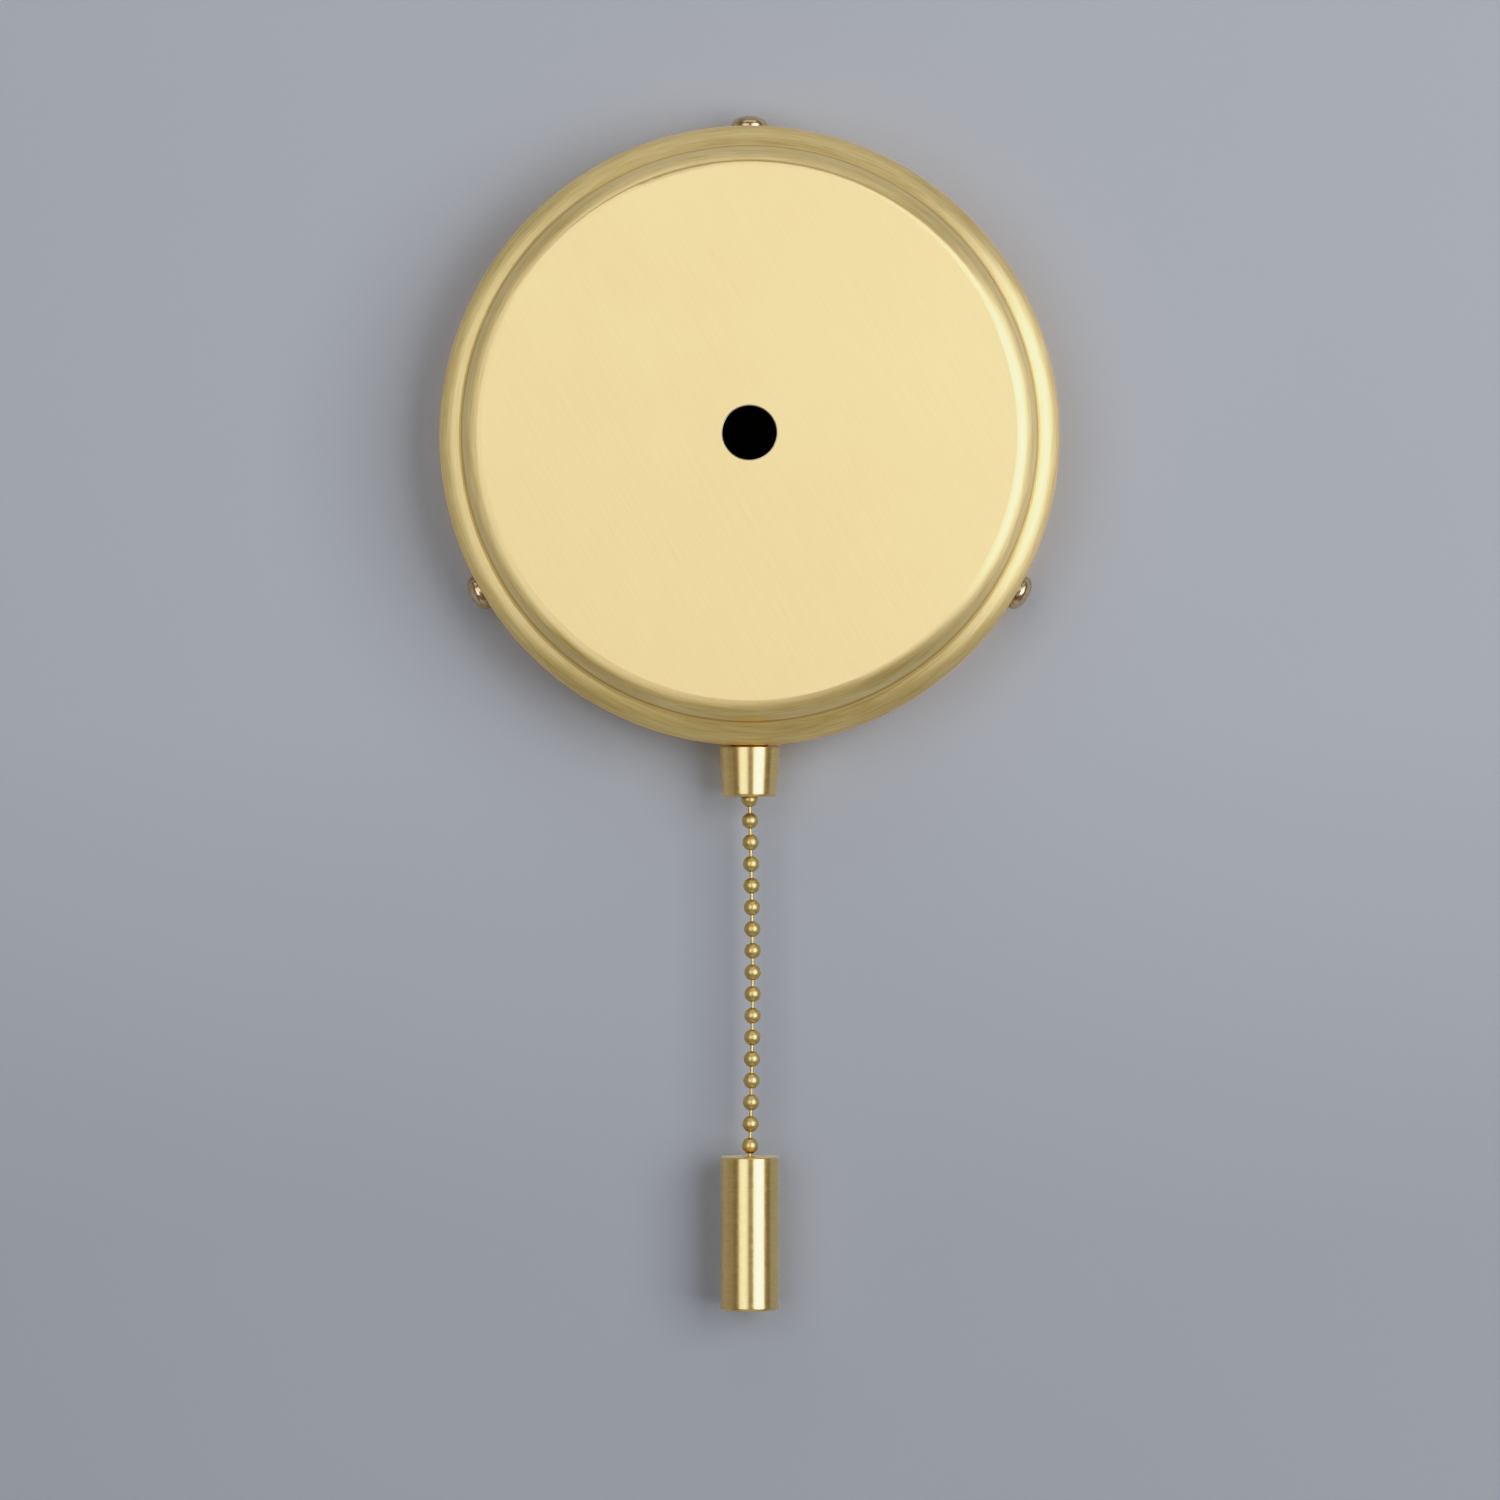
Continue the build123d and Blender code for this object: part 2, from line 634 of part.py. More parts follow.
def make_lock_washer():
    """A toothed washer between the nut and the canopy's wall."""
    one = toothed_washer(WASHER_BORE_R, WASHER_R, WASHER_TEETH)
    with BuildPart() as washer:
        with Locations((0, -CHAIN_DEPTH, WASHER_Z)):
            add(one.part)
    return washer


def make_bell_nut():
    """The conical nut outside the canopy, with a rounded mouth for the chain."""
    with BuildPart() as bell:
        with BuildSketch(CHAIN_PLANE):
            with BuildLine():
                Polyline(
                    (THREAD_HOLE_R, BELL_TOP_Z),
                    (BELL_TOP_R, BELL_TOP_Z),
                    (BELL_END_R, BELL_END_Z),
                    (BELL_MOUTH_R, BELL_END_Z),
                    (BELL_MOUTH_R, BELL_END_Z + BELL_LIP),
                    (THREAD_HOLE_R, BELL_END_Z + BELL_LIP + BELL_LIP_RISE),
                    close=True,
                )
            make_face()
        revolve(axis=CHAIN_AXIS)
        rims = bell.edges().filter_by(GeomType.CIRCLE)
        end_rims = rims.group_by(Axis.Z)[0].sort_by(lambda edge: edge.radius)
        fillet(end_rims[-1], BELL_END_FILLET)
        fillet(end_rims[0], BELL_MOUTH_FILLET)
        top_rim = rims.group_by(Axis.Z)[-1].sort_by(lambda edge: edge.radius)[-1]
        chamfer(top_rim, FINE_BREAK)
    return bell


# ---------------------------------------------------------------- switch works
def make_rotor():
    """The moulded rotor: a carrier for the contact ring and a four-spoke star."""
    seat = (RING_DEPTH[0] - SNUG, RING_DEPTH[1] + SNUG)
    layers = (
        (ROTOR_DEPTH[0], seat[0], LOBE_R),
        (seat[0], seat[1], RING_BORE_R - SNUG),
        (seat[1], RING_CARRIER_END, LOBE_R),
        (RING_CARRIER_END, ROTOR_DEPTH[1], STAR_HUB_R),
    )
    with BuildPart() as rotor:
        for start, end, radius in layers:
            with BuildSketch(WALL.offset(start)):
                rotor_circle(radius)
            extrude(amount=end - start)
        with BuildSketch(WALL.offset(STAR_DEPTH[0])):
            with Locations((ROTOR_X, ROTOR_Z)):
                with PolarLocations(STAR_R / 2, SPOKES, start_angle=45):
                    Rectangle(STAR_R, SPOKE_W)
                Circle(STAR_R, mode=Mode.INTERSECT)
        extrude(amount=STAR_DEPTH[1] - STAR_DEPTH[0])
        with BuildSketch(WALL.offset(ROTOR_DEPTH[0])):
            rotor_circle(AXLE_HOLE_R)
        extrude(amount=ROTOR_DEPTH[1] - ROTOR_DEPTH[0], mode=Mode.SUBTRACT)
    return rotor


def make_contact_ring():
    """The brass ring whose two lobes join the contact leaves after a quarter turn."""
    with BuildPart() as ring:
        with BuildSketch(WALL.offset(RING_DEPTH[0])):
            with Locations((ROTOR_X, ROTOR_Z)):
                Circle(RING_R)
                with PolarLocations(LOBE_R / 2, 2, start_angle=90):
                    Rectangle(LOBE_R, 2 * LOBE_R * sin(radians(LOBE_ANGLE)))
                Circle(LOBE_R, mode=Mode.INTERSECT)
                Circle(RING_BORE_R, mode=Mode.SUBTRACT)
        extrude(amount=RING_DEPTH[1] - RING_DEPTH[0])
    return ring


def make_rotor_axle():
    """The steel pin that the rotor turns on."""
    skin = AXLE_SEAT + AXLE_END_PLAY
    length = CASE_DEPTH[1] - CASE_DEPTH[0] - 2 * skin
    with BuildPart() as axle:
        with BuildSketch(WALL.offset(CASE_DEPTH[0] + skin)):
            rotor_circle(AXLE_R)
        extrude(amount=length)
        chamfer(axle.edges().filter_by(GeomType.CIRCLE), FINE_BREAK)
    return axle


def make_contact_leaf(side):
    """A sprung contact leaf beside the ring, from its clamp down past its contact point."""
    near_x = ROTOR_X + side * (LOBE_R + LEAF_GAP + LEAF_POINT_R)
    far_x = near_x + side * LEAF
    clamp_foot = CLAMP_Z - CLAMP_SIZE[1] / 2
    with BuildPart() as leaf:
        with BuildSketch(WALL.offset(LEAF_DEPTH[0])):
            with Locations((near_x, ROTOR_Z)):
                Circle(LEAF_POINT_R)
            with Locations((far_x + side * LEAF_POINT_R, ROTOR_Z)):
                Rectangle(2 * LEAF_POINT_R, 2 * LEAF_POINT_R, mode=Mode.SUBTRACT)
            box_between(sorted((near_x, far_x)), (ROTOR_Z - LEAF_TAIL, clamp_foot))
        extrude(amount=LEAF_DEPTH[1] - LEAF_DEPTH[0])
    return leaf


def make_clamp_blocks():
    """Two brass clamps that hold the leads and carry the contact leaves."""
    width, height, depth = CLAMP_SIZE
    with BuildPart() as clamps:
        with Locations(*[(x, -CHAIN_DEPTH, CLAMP_Z) for x in CLAMP_X]):
            Box(width, depth, height)
        with BuildSketch(Plane.XY.offset(CLAMP_Z + height / 2)):
            with Locations(*[(x, -CHAIN_DEPTH) for x in CLAMP_X]):
                Circle(LEAD_R + SNUG)
        extrude(amount=CLAMP_FLOOR - height, mode=Mode.SUBTRACT)
        with BuildSketch(CHAIN_PLANE):
            with Locations(*[(x, CLAMP_Z) for x in CLAMP_X]):
                Circle(CLAMP_SCREW_R + SNUG)
        extrude(amount=depth, mode=Mode.SUBTRACT)
    return clamps


def make_clamp_screws():
    """The two slotted screws that press the leads into their clamps."""
    tip = CHAIN_DEPTH + LEAD_R + PRESS_GAP
    seat = CHAIN_DEPTH + CLAMP_SIZE[2] / 2 + SNUG
    with BuildPart() as screws:
        with BuildSketch(WALL.offset(tip)):
            with Locations(*[(x, CLAMP_Z) for x in CLAMP_X]):
                Circle(CLAMP_SCREW_R)
        extrude(amount=seat - tip)
        with BuildSketch(WALL.offset(seat)):
            with Locations(*[(x, CLAMP_Z) for x in CLAMP_X]):
                Circle(CLAMP_HEAD_R)
        extrude(amount=CLAMP_HEAD_H)
        with BuildSketch(WALL.offset(seat + CLAMP_HEAD_H)):
            with Locations(*[(x, CLAMP_Z) for x in CLAMP_X]):
                Rectangle(2 * CLAMP_HEAD_R, SLOT_W, rotation=CLAMP_SLOT_TURN)
        extrude(amount=-CLAMP_SLOT, mode=Mode.SUBTRACT)
    return screws


def make_detent_leaf():
    """The leaf spring beside the star that steadies it between pulls."""
    leaf_x = ROTOR_X - STAR_R - DETENT_GAP
    foot_z = cavity_z()[0] + SIDE_PLAY
    with BuildPart() as leaf:
        with BuildSketch(WALL.offset(STAR_DEPTH[0] + SIDE_PLAY)):
            box_between((leaf_x - DETENT, leaf_x), (foot_z, ROTOR_Z + DETENT_RISE))
        extrude(amount=STAR_DEPTH[1] - STAR_DEPTH[0] - 2 * SIDE_PLAY)
    return leaf


def make_return_spring():
    """The coil spring between the neck's flange and the slider."""
    bottom = cavity_z()[0] + NECK_FLANGE + SPRING_WIRE_R + SNUG
    height = SLIDER_Z[0] - SPRING_WIRE_R - SNUG - bottom
    with BuildPart() as spring:
        with BuildLine() as coil:
            foot = (0, -CHAIN_DEPTH, bottom)
            Helix(height / SPRING_TURNS, height, SPRING_COIL_R, center=foot)
        with BuildSketch(Plane(origin=coil.line @ 0, z_dir=coil.line % 0)):
            Circle(SPRING_WIRE_R)
        sweep(path=coil.line, is_frenet=True)
    return spring


def make_pull_slider():
    """The moulded slider: it holds the chain's top bead and rides in the case's guides."""
    bead_z = inner_bead_z(0)
    seat_z = bead_z - sqrt(BEAD_R**2 - SLIDER_HOLE_R**2) - BEAD_SEAT_GAP
    width = 2 * SLIDER_HALF_W
    with BuildPart() as slider:
        with BuildSketch(WALL.offset(SLIDER_DEPTH[0])):
            with Locations((0, sum(SLIDER_Z) / 2)):
                RectangleRounded(width, SLIDER_Z[1] - SLIDER_Z[0], SLIDER_CORNER_R)
        extrude(amount=SLIDER_DEPTH[1] - SLIDER_DEPTH[0])
        bores = (
            (SLIDER_Z[1], seat_z, SLIDER_POCKET_R),
            (seat_z, SLIDER_Z[0], SLIDER_HOLE_R),
            (seat_z - SLIDER_FLOOR, SLIDER_Z[0], SLIDER_EXIT_R),
        )
        for top, bottom, radius in bores:
            with BuildSketch(Plane.XY.offset(bottom)):
                with Locations((0, -CHAIN_DEPTH)):
                    Circle(radius)
            extrude(amount=top - bottom, mode=Mode.SUBTRACT)
    return slider


def make_drive_finger():
    """The sprung steel finger on the slider that pushes the star round."""
    tip_x = ROTOR_X + FINGER_REACH
    under_z = ROTOR_Z + FINGER_RISE
    root_x = -SLIDER_HALF_W - FINGER_GAP
    with BuildPart() as finger:
        with BuildSketch(WALL.offset(STAR_DEPTH[0] + SIDE_PLAY)):
            box_between((tip_x, root_x), (under_z, under_z + FINGER))
            box_between((root_x - FINGER_BACK, root_x), (under_z, SLIDER_Z[1] - FINGER_TOP))
        extrude(amount=STAR_DEPTH[1] - STAR_DEPTH[0] - 2 * SIDE_PLAY)
    return finger


# ---------------------------------------------------------------- ball chain and pull
def inner_bead_z(index):
    """The height of an inner bead, counted from 0 in the slider to the bell nut's mouth."""
    return FIRST_BEAD_Z + (INNER_BEADS - 1 - index) * BEAD_PITCH


def chain_point(index):
    """The middle of a hanging bead, counted from 0 in the bell nut's mouth."""
    bow = CHAIN_BOW * sin(pi * index / OUTER_BEADS)
    return Vector(bow, -CHAIN_DEPTH, FIRST_BEAD_Z - index * BEAD_PITCH)


def make_bead():
    """A hollow bead about the origin, with a hole at its top and bottom."""
    outer_z = sqrt(BEAD_R**2 - BEAD_HOLE_R**2)
    inner_z = sqrt(BEAD_INNER_R**2 - BEAD_HOLE_R**2)
    with BuildPart() as bead:
        with BuildSketch(Plane.XZ):
            with BuildLine():
                ThreePointArc((BEAD_HOLE_R, -outer_z), (BEAD_R, 0), (BEAD_HOLE_R, outer_z))
                Line((BEAD_HOLE_R, outer_z), (BEAD_HOLE_R, inner_z))
                ThreePointArc(
                    (BEAD_HOLE_R, inner_z), (BEAD_INNER_R, 0), (BEAD_HOLE_R, -inner_z)
                )
                Line((BEAD_HOLE_R, -inner_z), (BEAD_HOLE_R, -outer_z))
            make_face()
        revolve(axis=Axis.Z)
    return bead


def make_link():
    """The wire link that rises from a bead about the origin, with a round head at each end."""
    low, high = LINK_PIVOT, BEAD_PITCH - LINK_PIVOT
    neck_z = sqrt(LINK_HEAD_R**2 - LINK_NECK_R**2)
    with BuildPart() as link:
        with BuildSketch(Plane.XZ):
            with BuildLine():
                Line((0, low - LINK_HEAD_R), (0, high + LINK_HEAD_R))
                ThreePointArc(
                    (0, high + LINK_HEAD_R), (LINK_HEAD_R, high), (LINK_NECK_R, high - neck_z)
                )
                Line((LINK_NECK_R, high - neck_z), (LINK_NECK_R, low + neck_z))
                ThreePointArc(
                    (LINK_NECK_R, low + neck_z), (LINK_HEAD_R, low), (0, low - LINK_HEAD_R)
                )
            make_face()
        revolve(axis=Axis.Z)
    return link


def make_chain_segment(index):
    """A hanging bead, and the link that it hangs by from the bead above."""
    lower = chain_point(index)
    up = chain_point(index - 1) - lower
    with BuildPart() as segment:
        with Locations(Plane(origin=lower, x_dir=(0, 1, 0), z_dir=up)):
            add(BEAD.part)
            add(LINK.part)
    return segment


def make_inner_chain():
    """The beads and links from the slider's pocket down to the bell nut's mouth."""
    heights = [inner_bead_z(i) for i in range(INNER_BEADS)]
    with BuildPart() as chain:
        with Locations(*[(0, -CHAIN_DEPTH, z) for z in heights]):
            add(BEAD.part)
        with Locations(*[(0, -CHAIN_DEPTH, z) for z in heights[1:]]):
            add(LINK.part)
    return chain


def make_pull_weight():
    """The turned brass pull, bored from below, with an eye in its top for the chain."""
    end_z = PULL_TOP_Z - PULL_LENGTH
    with BuildPart() as pull:
        with BuildSketch(CHAIN_PLANE):
            with BuildLine():
                Polyline(
                    (PULL_EYE_R, PULL_TOP_Z),
                    (PULL_R, PULL_TOP_Z),
                    (PULL_R, end_z),
                    (PULL_BORE_R, end_z),
                    (PULL_BORE_R, PULL_TOP_Z - PULL_TOP_WALL),
                    (PULL_EYE_R, PULL_TOP_Z - PULL_TOP_WALL),
                    close=True,
                )
            make_face()
        revolve(axis=CHAIN_AXIS)
        rims = pull.edges().filter_by(GeomType.CIRCLE)
        end_rims = rims.group_by(Axis.Z)[0].sort_by(lambda edge: edge.radius)
        fillet(end_rims[-1], PULL_END_FILLET)
        chamfer(end_rims[0], PULL_BORE_BREAK)
        top_rims = rims.group_by(Axis.Z)[-1].sort_by(lambda edge: edge.radius)
        chamfer(top_rims[-1], FINE_BREAK)
        chamfer(top_rims[0], FINE_BREAK)
    return pull


# ---------------------------------------------------------------- leads
def corner_radii(points):
    """A radius for each corner: as large as its two runs allow."""
    radii = []
    for before, corner, after in zip(points, points[1:], points[2:]):
        first, second = corner - before, after - corner
        turn = radians(first.get_angle(second))
        shorter = min(first.length, second.length)
        radii.append(LEAD_BEND * shorter / tan(turn / 2))
    return radii


def make_lead(name, route):
    """One insulated lead, held at both ends, of straight runs joined by tangent arcs."""
    points = [Vector(*point) for point in route]
    radii = corner_radii(points)
    with BuildPart() as lead:
        with BuildLine() as path:
            FilletPolyline(*points, radius=radii)
        with BuildSketch(Plane(origin=points[0], z_dir=path.line % 0)):
            Circle(LEAD_R)
        sweep(path=path.line)
    length = path.wire().length
    share = lead.part.volume / (pi * LEAD_R**2 * length)
    print(name, "length", round(length, 1), "volume share", round(share, 4))
    print("  radii", [round(radius, 1) for radius in radii])
    return lead


LIVE_ROUTE = (
    (CLAMP_X[0], -CHAIN_DEPTH, -34.0),
    (CLAMP_X[0], -CHAIN_DEPTH, -21.5),
    (-17.0, -11.0, -9.0),
    (-16.0, -12.0, 3.5),
    (-11.0, -SLEEVE_DEPTH, 14.0),
    (-11.0, -SLEEVE_DEPTH, 25.5),
)
SWITCHED_ROUTE = (
    (CLAMP_X[1], -CHAIN_DEPTH, -34.0),
    (CLAMP_X[1], -CHAIN_DEPTH, -22.0),
    (3.0, -11.0, -14.0),
    (13.5, -12.5, -5.5),
    (14.5, -10.5, 6.0),
    (11.0, -SLEEVE_DEPTH, 14.5),
    (11.0, -SLEEVE_DEPTH, 24.0),
)

BEAD = make_bead()
LINK = make_link()

save(make_canopy_cover(), "canopy_cover")
save(make_canopy_screws(), "canopy_screws")
save(make_wall_bracket(), "wall_bracket")
save(make_earth_screw(), "earth_screw")
save(make_earth_washer(), "earth_washer")
save(make_terminal_block(), "terminal_block")
save(make_terminal_sleeves(), "terminal_sleeves")
save(make_terminal_screws(), "terminal_screws")
save(make_terminal_mount_screws(), "terminal_mount_screws")
save(make_switch_base(), "switch_base")
save(make_switch_cover(), "switch_cover")
save(make_switch_rivets(), "switch_rivets")
save(make_switch_neck(), "switch_neck")
save(make_neck_nut(), "neck_nut")
save(make_lock_washer(), "lock_washer")
save(make_bell_nut(), "bell_nut")
save(make_rotor(), "rotor")
save(make_contact_ring(), "contact_ring")
save(make_rotor_axle(), "rotor_axle")
save(make_contact_leaf(-1), "contact_leaf_live")
save(make_contact_leaf(1), "contact_leaf_switched")
save(make_clamp_blocks(), "clamp_blocks")
save(make_clamp_screws(), "clamp_screws")
save(make_detent_leaf(), "detent_leaf")
save(make_return_spring(), "return_spring")
save(make_pull_slider(), "pull_slider")
save(make_drive_finger(), "drive_finger")
save(make_inner_chain(), "inner_chain")
for number in range(1, OUTER_BEADS + 1):
    save(make_chain_segment(number), f"chain_segment_{number:02d}")
save(make_pull_weight(), "pull_weight")
save(make_lead("live lead", LIVE_ROUTE), "lead_live")
save(make_lead("switched lead", SWITCHED_ROUTE), "lead_switched")
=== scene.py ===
import json
from math import cos, pi, radians, sin

import bpy
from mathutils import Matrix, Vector


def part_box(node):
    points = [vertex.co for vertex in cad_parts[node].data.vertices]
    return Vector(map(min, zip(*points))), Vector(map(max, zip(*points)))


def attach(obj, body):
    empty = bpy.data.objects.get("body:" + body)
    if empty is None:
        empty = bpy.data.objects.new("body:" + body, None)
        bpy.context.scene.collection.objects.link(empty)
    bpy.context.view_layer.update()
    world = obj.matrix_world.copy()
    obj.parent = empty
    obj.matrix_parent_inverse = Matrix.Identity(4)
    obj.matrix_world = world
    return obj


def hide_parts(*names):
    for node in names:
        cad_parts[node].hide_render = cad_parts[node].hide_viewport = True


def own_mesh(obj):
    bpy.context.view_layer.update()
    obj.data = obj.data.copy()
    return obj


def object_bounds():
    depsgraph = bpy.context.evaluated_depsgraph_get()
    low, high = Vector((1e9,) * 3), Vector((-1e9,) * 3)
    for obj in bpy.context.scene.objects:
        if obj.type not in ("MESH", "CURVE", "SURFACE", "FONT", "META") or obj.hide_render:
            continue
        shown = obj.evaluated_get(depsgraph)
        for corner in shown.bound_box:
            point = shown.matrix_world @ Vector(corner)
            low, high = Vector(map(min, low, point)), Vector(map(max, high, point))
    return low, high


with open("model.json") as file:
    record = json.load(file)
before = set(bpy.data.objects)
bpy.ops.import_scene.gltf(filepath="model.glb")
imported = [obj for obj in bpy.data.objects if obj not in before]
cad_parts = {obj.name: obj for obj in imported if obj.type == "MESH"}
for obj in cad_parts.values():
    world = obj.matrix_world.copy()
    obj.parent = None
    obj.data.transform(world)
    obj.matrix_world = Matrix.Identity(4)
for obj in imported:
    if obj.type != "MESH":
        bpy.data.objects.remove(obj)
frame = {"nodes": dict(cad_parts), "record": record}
cad_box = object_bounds()
scene = bpy.context.scene

# ---------------------------------------------------------------- driving dimensions, metres
MM = 0.001
MIDDLE = (cad_box[0] + cad_box[1]) / 2
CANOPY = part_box("canopy_cover")
CANOPY_R = CANOPY[1].x
CANOPY_CENTRE = (0, 0, 0)
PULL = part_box("pull_weight")
CHAIN_LINE = (0, (PULL[0].y + PULL[1].y) / 2, 0)  # a point on the upright line of the chain and pull

WALL_GAP = 0.05 * MM  # the wall's surface stands this far behind the bracket
WALL_SIZE = 3.0
WALL_SHADE_Z = -155 * MM  # painted shade: the wall is painted a little darker from here down, for the lamps' falloff
WALL_SHADE_FADE = 100 * MM  # and the painted shade fades out over this height above it
WALL_CLOUD = 120 * MM
WALL_CLOUD_SHARE = 0.2
# a black disc of painted shade on the wall behind the bracket's middle
SHADE_DISC_R = 9.5 * MM
SHADE_DISC_SIDES = 64

CAMERA_DISTANCE = 1.2
CAMERA_SENSOR = 36.0
CAMERA_LENS = 147.2
CAMERA_X = 0.1 * MM
CAMERA_DROP = 7.32 * MM  # the camera aims this far under the middle of the part

FACE_FLAT_R = 51.3 * MM  # the flat face ends here
FACE_BLEND = 2.0 * MM  # and its straight brushing gives way to rings over this width
CREASE_R = 55.4 * MM  # a thin ring is made darker at the crease at the foot of the flank
CREASE_WIDTH = 0.3 * MM
HOLE_R = 5.2 * MM
HOLE_RIM = 0.3 * MM  # the hole's edge is painted paler over this width: a painted highlight on its cut edge, partly worn lacquer
EDGE_R = 59.2 * MM  # the shoulder's outer edge is a little redder
BRUSH_ANGLE = radians(30)  # the face is brushed along a line this far from upright
STROKE_WIDTH = 0.28 * MM
STROKE_LENGTH = 9 * MM
SPUN_LINE = 0.4 * MM
SPUN_ARC = 0.12  # how long the spun lines are, in radians
TURNED_LINE = 0.35 * MM
TURNED_ARC = 0.4

MARK_DEPTH = 0.004 * MM  # of most fine marks
DRAWN_GRAIN = (2500, 2500, 250)  # marks per metre along each axis
ROLLED_GRAIN = (180, 2500, 2500)
WIRE_GRAIN = (3000, 3000, 3000)
ZINC_SPANGLE = 1.4 * MM

SPRING_WIRE_R = 0.3 * MM
SPRING_TURNS = 5
SPRING_STEPS = 36 * SPRING_TURNS
SPRING_SIDES = 12

PLASTICS = (  # slot, dark and light colour, roughness, size and depth of the mould's grain
    ("black_phenolic", (0.008, 0.007, 0.006), (0.018, 0.016, 0.014), 0.3, 0.3 * MM, 0.004 * MM),
    ("ivory_acetal", (0.66, 0.60, 0.46), (0.76, 0.71, 0.58), 0.38, 0.25 * MM, 0.003 * MM),
    ("white_polyamide", (0.70, 0.69, 0.64), (0.80, 0.79, 0.75), 0.45, 0.2 * MM, 0.005 * MM),
    ("brown_insulation", (0.10, 0.035, 0.015), (0.15, 0.055, 0.025), 0.42, 0.5 * MM, 0.004 * MM),
    ("black_insulation", (0.010, 0.010, 0.010), (0.022, 0.022, 0.022), 0.42, 0.5 * MM, 0.004 * MM),
)

SOFTBOXES = (  # name, azimuth, elevation, distance, (width, height), watts
    ("softbox_right", 38, 4, 1.3, (0.95, 1.1), 9.4),
    ("softbox_left", -24, 4, 1.3, (0.82, 1.1), 4.3),
    ("softbox_top", 0, 65, 1.0, (1.2, 0.6), 1.5),
    ("fill_left", -85, 0, 1.2, (0.8, 1.4), 0.45),
    ("fill_below", 0, -75, 1.2, (1.2, 0.8), 0.9),
    ("softbox_back", 180, 10, 1.0, (0.8, 0.8), 6),
)
ROOM_COLOUR = (1.0, 0.985, 0.95)
ROOM_LIGHT = 0.22  # how strongly the room lights the part
BACKDROP = 0.75  # how bright the room looks where nothing stands in front of it

TONE_CURVE = (  # scene light, and how much of full white it shows as
    (0.0, 0.0),
    (0.12, 0.058),
    (0.2, 0.135),
    (0.32, 0.268),
    (0.45, 0.402),
    (0.65, 0.6),
    (0.85, 0.77),
    (1.0, 0.862),
    (1.3, 0.912),
    (1.7, 0.945),
    (2.2, 0.975),
    (4.0, 1.0),
)

NOISE_LOW = 0.3  # most of a noise texture lies between these
NOISE_HIGH = 0.7
ROUGHNESS_SWING = 0.15  # roughness goes this share up and down
MIX_SOCKETS = {  # a Mix node's two inputs and its output, for each type
    "FLOAT": (2, 3, 0),
    "VECTOR": (4, 5, 1),
    "RGBA": (6, 7, 2),
}


# ---------------------------------------------------------------- node helpers
def feed(tree, value, socket):
    """Links another node's output to a socket, or sets the socket to a fixed value."""
    if isinstance(value, bpy.types.NodeSocket):
        tree.links.new(value, socket)
    elif socket.type == "RGBA":
        socket.default_value = (*value, 1.0)
    else:
        socket.default_value = value


def node(tree, kind, **inputs):
    """Adds a shader node; in0 and in1 stand for its first and second input."""
    made = tree.nodes.new(kind)
    for name, value in inputs.items():
        feed(tree, value, made.inputs[int(name[2:])] if name.startswith("in") else made.inputs[name])
    return made


def math(tree, operation, first, second=0.0, clamp=False):
    made = node(tree, "ShaderNodeMath", in0=first, in1=second)
    made.operation = operation
    made.use_clamp = clamp
    return made.outputs[0]


def ramp(tree, value, start, width):
    """0 up to start, then rising to 1 over this width."""
    return math(tree, "DIVIDE", math(tree, "SUBTRACT", value, start), width, clamp=True)


def spread(tree, texture, low, high):
    """Maps the middle range of a noise texture onto low to high."""
    made = node(tree, "ShaderNodeMapRange", Value=texture)
    made.inputs["From Min"].default_value = NOISE_LOW
    made.inputs["From Max"].default_value = NOISE_HIGH
    made.inputs["To Min"].default_value = low
    made.inputs["To Max"].default_value = high
    return made.outputs["Result"]


def uneven(tree, texture, roughness):
    """A roughness that varies a little either way."""
    return spread(tree, texture, roughness * (1 - ROUGHNESS_SWING), roughness * (1 + ROUGHNESS_SWING))


def mix(tree, kind, share, first, second, blend="MIX"):
    made = tree.nodes.new("ShaderNodeMix")
    made.data_type = kind
    made.blend_type = blend
    first_input, second_input, output = MIX_SOCKETS[kind]
    feed(tree, share, made.inputs[0])
    feed(tree, first, made.inputs[first_input])
    feed(tree, second, made.inputs[second_input])
    return made.outputs[output]


def tinted(tree, share, colour, factor):
    """A colour that is multiplied by a factor where share is 1."""
    return mix(tree, "RGBA", share, colour, factor, blend="MULTIPLY")


def shades(tree, texture, dark, light):
    """A colour that follows a noise texture from dark to light."""
    return mix(tree, "RGBA", spread(tree, texture, 0, 1), dark, light)


def place(tree):
    """Where a point is on the piece at rest, in metres."""
    return tree.nodes.new("ShaderNodeTexCoord").outputs["Object"]


def scaled(tree, vector, factors):
    made = node(tree, "ShaderNodeVectorMath", in0=vector, in1=factors)
    made.operation = "MULTIPLY"
    return made.outputs[0]


def noise(tree, vector, detail=2.0):
    made = node(tree, "ShaderNodeTexNoise", Vector=vector, Scale=1.0, Detail=detail)
    return made.outputs["Fac"]


def cloud(tree, size):
    """Soft blotches about this many metres across, or a grain where the size is small."""
    return noise(tree, scaled(tree, place(tree), (1 / size,) * 3), detail=3.0)


